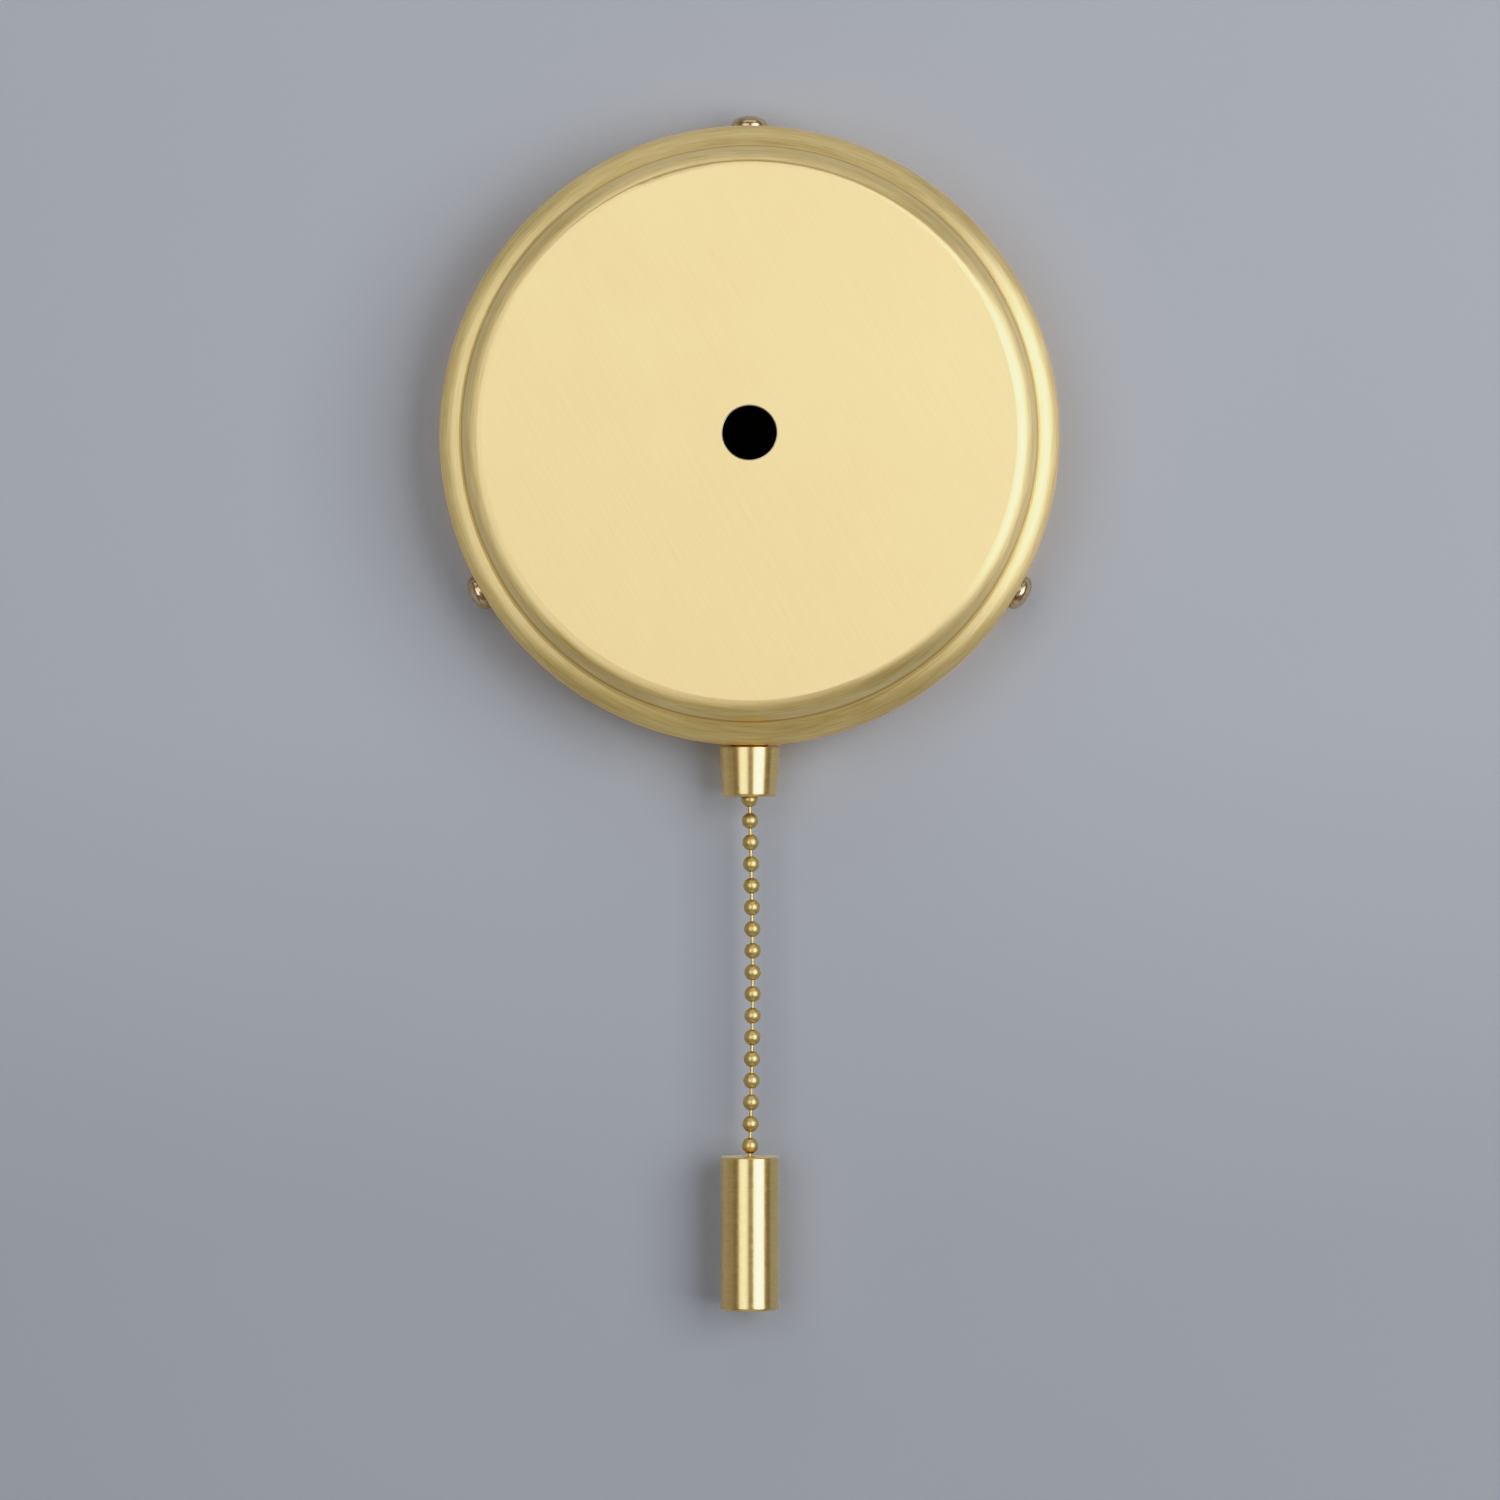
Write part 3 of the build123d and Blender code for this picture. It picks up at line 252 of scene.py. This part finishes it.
def ring_streaks(tree, centre, spin_axis, width, arc):
    """Fine rings round a turned or spun piece: width across a line, and its length in radians."""
    shifted = node(tree, "ShaderNodeVectorMath", in0=place(tree), in1=centre)
    shifted.operation = "SUBTRACT"
    parts = node(tree, "ShaderNodeSeparateXYZ", Vector=shifted.outputs[0])
    x, y, z = parts.outputs
    first, second, along = (x, z, y) if spin_axis == "Y" else (x, y, z)
    first_squared = math(tree, "MULTIPLY", first, first)
    second_squared = math(tree, "MULTIPLY", second, second)
    radius = math(tree, "SQRT", math(tree, "ADD", first_squared, second_squared))
    profile = math(tree, "MULTIPLY", math(tree, "ADD", radius, along), 1 / width)
    way = node(
        tree,
        "ShaderNodeCombineXYZ",
        X=math(tree, "DIVIDE", first, radius),
        Y=math(tree, "DIVIDE", second, radius),
    )
    turned = scaled(tree, way.outputs[0], (1 / arc, 1 / arc, 0.0))
    lines = node(tree, "ShaderNodeCombineXYZ", Z=profile)
    both = node(tree, "ShaderNodeVectorMath", in0=turned, in1=lines.outputs[0])
    both.operation = "ADD"
    return noise(tree, both.outputs[0]), radius


def straight_streaks(tree, width, length, lean):
    """Fine straight scratches in the wall's plane, leaning this far from upright."""
    turned = node(tree, "ShaderNodeVectorRotate", Vector=place(tree), Angle=lean)
    turned.rotation_type = "Y_AXIS"
    return noise(tree, scaled(tree, turned.outputs[0], (1 / width, 1 / width, 1 / length)))


def round_axis(tree, axis):
    """The direction round a turned or spun piece, along the lines that the tool leaves."""
    made = tree.nodes.new("ShaderNodeTangent")
    made.direction_type = "RADIAL"
    made.axis = axis
    return made.outputs[0]


def spun_normal(tree, radius):
    """The normal of a shell spun about the Y axis, turned to point straight out from the axis.

    The mesh's own normals don't meet where the spun surface starts and ends, and a line would show.
    """
    normal = tree.nodes.new("ShaderNodeNewGeometry").outputs["Normal"]
    along = node(tree, "ShaderNodeSeparateXYZ", Vector=normal).outputs[1]
    position = scaled(tree, place(tree), (1, 0, 1))
    outward = node(tree, "ShaderNodeVectorMath", in0=normal, in1=position)
    outward.operation = "DOT_PRODUCT"
    side = math(tree, "SIGN", outward.outputs["Value"])
    rest = math(tree, "SUBTRACT", 1.0, math(tree, "MULTIPLY", along, along), clamp=True)
    stretch = math(tree, "DIVIDE", math(tree, "MULTIPLY", side, math(tree, "SQRT", rest)), radius)
    position_parts = node(tree, "ShaderNodeSeparateXYZ", Vector=position)
    made = node(
        tree,
        "ShaderNodeCombineXYZ",
        X=math(tree, "MULTIPLY", position_parts.outputs[0], stretch),
        Y=along,
        Z=math(tree, "MULTIPLY", position_parts.outputs[2], stretch),
    )
    return made.outputs[0]


def bump(tree, shader, height, depth=MARK_DEPTH, normal=None):
    """Raises the surface by up to depth metres where height is 1."""
    made = node(tree, "ShaderNodeBump", Height=height, Distance=depth)
    if normal:
        feed(tree, normal, made.inputs["Normal"])
    feed(tree, made.outputs["Normal"], shader.inputs["Normal"])


def new_material(name, **fixed):
    """A material with a Principled shader; fixed values are set on the shader itself."""
    made = bpy.data.materials.new(name)
    made.use_nodes = True
    shader = made.node_tree.nodes["Principled BSDF"]
    for socket, value in fixed.items():
        feed(made.node_tree, value, shader.inputs[socket.replace("_", " ")])
    return made, made.node_tree, shader


# ---------------------------------------------------------------- metals
def canopy_brass():
    """Lacquered brass, brushed straight across the face and round everywhere outside it."""
    dark, light = (0.91, 0.69, 0.36), (0.97, 0.745, 0.405)
    # paler, bluer factors for outside the face: painted sheen for whiter highlights, with the spun
    # rings' own tone
    ring_and_sheen_dark, ring_and_sheen_light = (0.93, 0.96, 0.9), (1.03, 1.12, 1.18)
    crease_darkening, reddish, rim_wear_and_highlight = (0.72, 0.6, 0.42), (1.0, 0.86, 0.7), (1.03, 1.3, 2.0)
    face_roughness, ring_roughness = (0.38, 0.44), (0.41, 0.47)
    made, tree, shader = new_material(
        "canopy_brass",
        Metallic=1.0,
        Anisotropic=0.85,
        Anisotropic_Rotation=0.25,
        Coat_Weight=1.0,
        Coat_Roughness=0.4,
    )
    rings, radius = ring_streaks(tree, CANOPY_CENTRE, "Y", SPUN_LINE, SPUN_ARC)
    strokes = straight_streaks(tree, STROKE_WIDTH, STROKE_LENGTH, BRUSH_ANGLE)
    outside = ramp(tree, radius, FACE_FLAT_R, FACE_BLEND)
    lines = mix(tree, "FLOAT", outside, strokes, rings)
    tint = mix(tree, "FLOAT", 0.35, lines, cloud(tree, 25 * MM))
    colour = shades(tree, tint, dark, light)
    # Outside the face the colour is made paler and bluer along the spun rings: partly their own tone,
    # partly painted sheen.
    colour = tinted(tree, outside, colour, shades(tree, rings, ring_and_sheen_dark, ring_and_sheen_light))
    # A thin ring at the crease at the foot of the flank is made darker.
    from_crease = math(tree, "ABSOLUTE", math(tree, "SUBTRACT", radius, CREASE_R))
    crease = math(tree, "SUBTRACT", 1.0, math(tree, "DIVIDE", from_crease, CREASE_WIDTH), clamp=True)
    colour = tinted(tree, crease, colour, crease_darkening)
    colour = tinted(tree, ramp(tree, radius, EDGE_R, CANOPY_R - EDGE_R), colour, reddish)
    # Painted highlight: the hole's cut edge is made paler and whiter, partly standing for worn
    # lacquer.
    inward = math(tree, "SUBTRACT", HOLE_R + HOLE_RIM, radius)
    rim = math(tree, "DIVIDE", inward, HOLE_RIM, clamp=True)
    feed(tree, tinted(tree, rim, colour, rim_wear_and_highlight), shader.inputs["Base Color"])
    face = spread(tree, lines, *face_roughness)
    roughness = mix(tree, "FLOAT", outside, face, spread(tree, lines, *ring_roughness))
    feed(tree, roughness, shader.inputs["Roughness"])
    stroke = (sin(BRUSH_ANGLE), 0.0, cos(BRUSH_ANGLE))
    feed(tree, mix(tree, "VECTOR", outside, stroke, round_axis(tree, "Y")), shader.inputs["Tangent"])
    bump(tree, shader, lines, normal=spun_normal(tree, radius))
    return made


def turned_brass():
    """Brass off a lathe, with fine rings."""
    light = (0.97, 0.76, 0.41)
    dark = tuple(0.87 * channel for channel in light)
    made, tree, shader = new_material(
        "turned_brass",
        Metallic=1.0,
        Anisotropic=0.62,
        Anisotropic_Rotation=0.25,
        Coat_Weight=0.25,
        Coat_Roughness=0.3,
    )
    rings, _ = ring_streaks(tree, CHAIN_LINE, "Z", TURNED_LINE, TURNED_ARC)
    tint = mix(tree, "FLOAT", 0.3, rings, cloud(tree, 6 * MM))
    feed(tree, shades(tree, tint, dark, light), shader.inputs["Base Color"])
    feed(tree, uneven(tree, rings, 0.33), shader.inputs["Roughness"])
    feed(tree, round_axis(tree, "Z"), shader.inputs["Tangent"])
    bump(tree, shader, rings, depth=0.0006 * MM)
    return made


def chain_brass():
    """Tumbled ball chain."""
    dark, light = (0.70, 0.56, 0.29), (0.84, 0.68, 0.37)
    made, tree, shader = new_material("chain_brass", Metallic=1.0)
    grain = cloud(tree, 0.25 * MM)
    tint = mix(tree, "FLOAT", 0.5, grain, cloud(tree, 2.5 * MM))
    feed(tree, shades(tree, tint, dark, light), shader.inputs["Base Color"])
    feed(tree, spread(tree, grain, 0.38, 0.46), shader.inputs["Roughness"])
    bump(tree, shader, grain, depth=0.006 * MM)
    return made


def screw_brass():
    """Screw heads that have gone pinkish, with darker tarnish in patches."""
    dark, light = (0.50, 0.38, 0.25), (0.90, 0.74, 0.53)
    made, tree, shader = new_material("screw_brass", Metallic=1.0)
    specks = cloud(tree, 0.3 * MM)
    tint = mix(tree, "FLOAT", 0.35, cloud(tree, 1.6 * MM), specks)
    feed(tree, shades(tree, tint, dark, light), shader.inputs["Base Color"])
    feed(tree, spread(tree, tint, 0.32, 0.16), shader.inputs["Roughness"])
    bump(tree, shader, specks)
    return made


def plain_brass():
    """Machined and stamped brass inside the switch."""
    dark, light = (0.66, 0.46, 0.17), (0.82, 0.62, 0.28)
    made, tree, shader = new_material("plain_brass", Metallic=1.0)
    drawn = noise(tree, scaled(tree, place(tree), DRAWN_GRAIN))
    tint = mix(tree, "FLOAT", 0.5, drawn, cloud(tree, 3 * MM))
    feed(tree, shades(tree, tint, dark, light), shader.inputs["Base Color"])
    feed(tree, spread(tree, drawn, 0.24, 0.36), shader.inputs["Roughness"])
    bump(tree, shader, drawn)
    return made


def zinc_steel():
    """Zinc-plated steel, a little cloudy and blue, duller towards the edges of its crystals."""
    dark, light = (0.50, 0.52, 0.54), (0.66, 0.68, 0.69)
    made, tree, shader = new_material("zinc_steel", Metallic=1.0)
    crystals = scaled(tree, place(tree), (1 / ZINC_SPANGLE,) * 3)
    spangle = node(tree, "ShaderNodeTexVoronoi", Vector=crystals, Scale=1.0)
    rolled = noise(tree, scaled(tree, place(tree), ROLLED_GRAIN))
    tint = mix(tree, "FLOAT", 0.5, rolled, cloud(tree, 9 * MM))
    feed(tree, shades(tree, tint, dark, light), shader.inputs["Base Color"])
    duller = math(tree, "MULTIPLY", spangle.outputs["Distance"], 0.12)
    roughness = math(tree, "ADD", spread(tree, rolled, 0.26, 0.36), duller)
    feed(tree, roughness, shader.inputs["Roughness"])
    bump(tree, shader, rolled)
    return made


def spring_steel():
    """Drawn and tempered wire and strip, with a faint straw and blue tint."""
    blue, straw = (0.40, 0.42, 0.48), (0.56, 0.51, 0.43)
    made, tree, shader = new_material("spring_steel", Metallic=1.0)
    drawn = noise(tree, scaled(tree, place(tree), WIRE_GRAIN))
    feed(tree, shades(tree, cloud(tree, 4 * MM), blue, straw), shader.inputs["Base Color"])
    feed(tree, spread(tree, drawn, 0.2, 0.34), shader.inputs["Roughness"])
    bump(tree, shader, drawn, depth=0.003 * MM)
    return made


# ---------------------------------------------------------------- plastics
def moulded(name, dark, light, roughness, grain_size, depth):
    """A moulded plastic: a fine texture from the mould, and slightly cloudy colour."""
    made, tree, shader = new_material(name)
    grain = cloud(tree, grain_size)
    tint = mix(tree, "FLOAT", 0.3, cloud(tree, 7 * MM), grain)
    feed(tree, shades(tree, tint, dark, light), shader.inputs["Base Color"])
    feed(tree, uneven(tree, grain, roughness), shader.inputs["Roughness"])
    bump(tree, shader, grain, depth)
    return made


METALS = (canopy_brass, turned_brass, chain_brass, screw_brass, plain_brass, zinc_steel, spring_steel)
MATERIALS = {metal.__name__: metal() for metal in METALS}
for plastic in PLASTICS:
    MATERIALS[plastic[0]] = moulded(*plastic)


def dress_cad_nodes():
    """Gives each CAD node the material of its slot in the record."""
    for part in frame["record"]["subparts"]:
        cad = frame["nodes"][part["node"]]
        if not cad.data.materials:
            cad.data.materials.append(None)
        for holder in cad.material_slots:
            holder.material = MATERIALS[part["material_slot"]]


# ---------------------------------------------------------------- return spring
def add_return_spring():
    """A wire coil round the slider's stem, built to fill the CAD spring's box."""
    low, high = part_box("return_spring")
    middle = (low + high) / 2
    coil_r = (high.x - low.x) / 2 - SPRING_WIRE_R
    foot = low.z + SPRING_WIRE_R
    rise = high.z - low.z - 2 * SPRING_WIRE_R
    up = Vector((0, 0, 1))
    points = []
    for step in range(SPRING_STEPS + 1):
        turn = 2 * pi * SPRING_TURNS * step / SPRING_STEPS
        out = Vector((cos(turn), sin(turn), 0))
        centre = Vector((middle.x, middle.y, foot + rise * step / SPRING_STEPS)) + coil_r * out
        for side in range(SPRING_SIDES):
            about = 2 * pi * side / SPRING_SIDES
            points.append(centre + SPRING_WIRE_R * (cos(about) * out + sin(about) * up))
    faces = []
    for step in range(SPRING_STEPS):
        near = step * SPRING_SIDES
        far = near + SPRING_SIDES
        for side in range(SPRING_SIDES):
            after = (side + 1) % SPRING_SIDES
            faces.append((near + side, far + side, far + after, near + after))
    faces.append(tuple(range(SPRING_SIDES)))
    faces.append(tuple(reversed(range(len(points) - SPRING_SIDES, len(points)))))
    mesh = bpy.data.meshes.new("return_spring_wire")
    mesh.from_pydata(points, [], faces)
    mesh.shade_smooth()
    mesh.materials.append(MATERIALS["spring_steel"])
    spring = bpy.data.objects.new("return_spring_wire", mesh)
    scene.collection.objects.link(spring)
    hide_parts("return_spring")
    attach(spring, "canopy")
    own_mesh(spring)


# ---------------------------------------------------------------- stage
def new_sheet(name, outline, y, made):
    """A flat sheet of the stage that faces the room, and throws no shadow."""
    mesh = bpy.data.meshes.new(name)
    mesh.from_pydata(outline, [], [tuple(range(len(outline)))])
    mesh.materials.append(made)
    sheet = bpy.data.objects.new(name, mesh)
    sheet.location = (0, y, 0)
    sheet.visible_shadow = False
    scene.collection.objects.link(sheet)
    return sheet


def clear_from_behind(tree, shader):
    """Makes a stage sheet one-sided, so that the back of the part can be seen through it."""
    side = tree.nodes.new("ShaderNodeNewGeometry")
    clear = tree.nodes.new("ShaderNodeBsdfTransparent")
    either = tree.nodes.new("ShaderNodeMixShader")
    feed(tree, side.outputs["Backfacing"], either.inputs[0])
    feed(tree, shader.outputs[0], either.inputs[1])
    feed(tree, clear.outputs[0], either.inputs[2])
    feed(tree, either.outputs[0], tree.nodes["Material Output"].inputs["Surface"])


def add_wall():
    """A painted wall seen from the room, darker lower down with painted shade; from behind it is
    clear, and it lets light through.
    """
    dark, light = (0.408, 0.432, 0.492), (0.482, 0.51, 0.57)
    made, tree, shader = new_material("wall_paint_and_shade", Roughness=0.75)
    height = node(tree, "ShaderNodeSeparateXYZ", Vector=place(tree)).outputs[2]
    # Painted shade: the wall's colour is darker lower down, where the lamps' light falls off.
    rise = ramp(tree, height, WALL_SHADE_Z, WALL_SHADE_FADE)
    tint = mix(tree, "FLOAT", WALL_CLOUD_SHARE, rise, cloud(tree, WALL_CLOUD))
    feed(tree, mix(tree, "RGBA", tint, dark, light), shader.inputs["Base Color"])
    clear_from_behind(tree, shader)
    half = WALL_SIZE / 2
    corners = [(-half, 0, -half), (half, 0, -half), (half, 0, half), (-half, 0, half)]
    wall = new_sheet("wall", corners, CANOPY[1].y + WALL_GAP, made)


def add_shade_disc():
    """A black disc of painted shade on the wall behind the bracket's middle, seen through the centre
    hole.
    """
    made, tree, shader = new_material(
        "shade_disc_black",
        Base_Color=(0.004, 0.004, 0.004),
        Roughness=0.9,
        Specular_IOR_Level=0.1,
    )
    clear_from_behind(tree, shader)
    turn = 2 * pi / SHADE_DISC_SIDES
    rim = [(SHADE_DISC_R * cos(i * turn), 0, SHADE_DISC_R * sin(i * turn)) for i in range(SHADE_DISC_SIDES)]
    # Painted shade: a black sheet where the dark inside of the switch shows through the hole.
    dark = new_sheet("shade_disc", rim, CANOPY[1].y + WALL_GAP / 2, made)


def direction(azimuth, elevation):
    """From the part towards a place round it; azimuth 0 is straight out from the wall."""
    a, e = radians(azimuth), radians(elevation)
    return Vector((sin(a) * cos(e), -cos(a) * cos(e), sin(e)))


def add_softbox(name, azimuth, elevation, distance, size, power):
    """A large soft light that faces the part and isn't seen itself."""
    light = bpy.data.lights.new(name, "AREA")
    light.shape = "RECTANGLE"
    light.size, light.size_y = size
    light.energy = power
    box = bpy.data.objects.new(name, light)
    out = direction(azimuth, elevation)
    box.location = MIDDLE + out * distance
    box.rotation_mode = "QUATERNION"
    box.rotation_quaternion = out.to_track_quat("Z", "Y")
    box.visible_camera = False
    scene.collection.objects.link(box)


def add_lights():
    """The softboxes, and a dim room round them that looks brighter than it lights."""
    for softbox in SOFTBOXES:
        add_softbox(*softbox)
    world = bpy.data.worlds.new("studio")
    world.use_nodes = True
    tree = world.node_tree
    background = tree.nodes["Background"]
    feed(tree, ROOM_COLOUR, background.inputs["Color"])
    seen = tree.nodes.new("ShaderNodeLightPath").outputs["Is Camera Ray"]
    feed(tree, mix(tree, "FLOAT", seen, ROOM_LIGHT, BACKDROP), background.inputs["Strength"])
    scene.world = world


def set_tone_curve():
    """A camera's tone curve: a soft toe, and highlights that run to white without clipping."""
    view = scene.view_settings
    view.view_transform = "Standard"
    view.use_curve_mapping = True
    view.curve_mapping.clip_max_x = TONE_CURVE[-1][0]
    combined = view.curve_mapping.curves[3]
    combined.points[0].location = TONE_CURVE[0]
    combined.points[1].location = TONE_CURVE[-1]
    for light, shown in TONE_CURVE[1:-1]:
        combined.points.new(light, shown)
    view.curve_mapping.update()


def add_camera():
    """Straight out from the wall, a little under the middle of the part."""
    data = bpy.data.cameras.new("camera")
    data.sensor_width = CAMERA_SENSOR
    data.lens = CAMERA_LENS
    camera = bpy.data.objects.new("camera", data)
    camera.location = (CAMERA_X, -CAMERA_DISTANCE, MIDDLE.z - CAMERA_DROP)
    camera.rotation_euler = (pi / 2, 0, 0)
    scene.collection.objects.link(camera)
    scene.camera = camera


set_tone_curve()
dress_cad_nodes()
add_return_spring()
add_wall()
add_shade_disc()
add_lights()
add_camera()
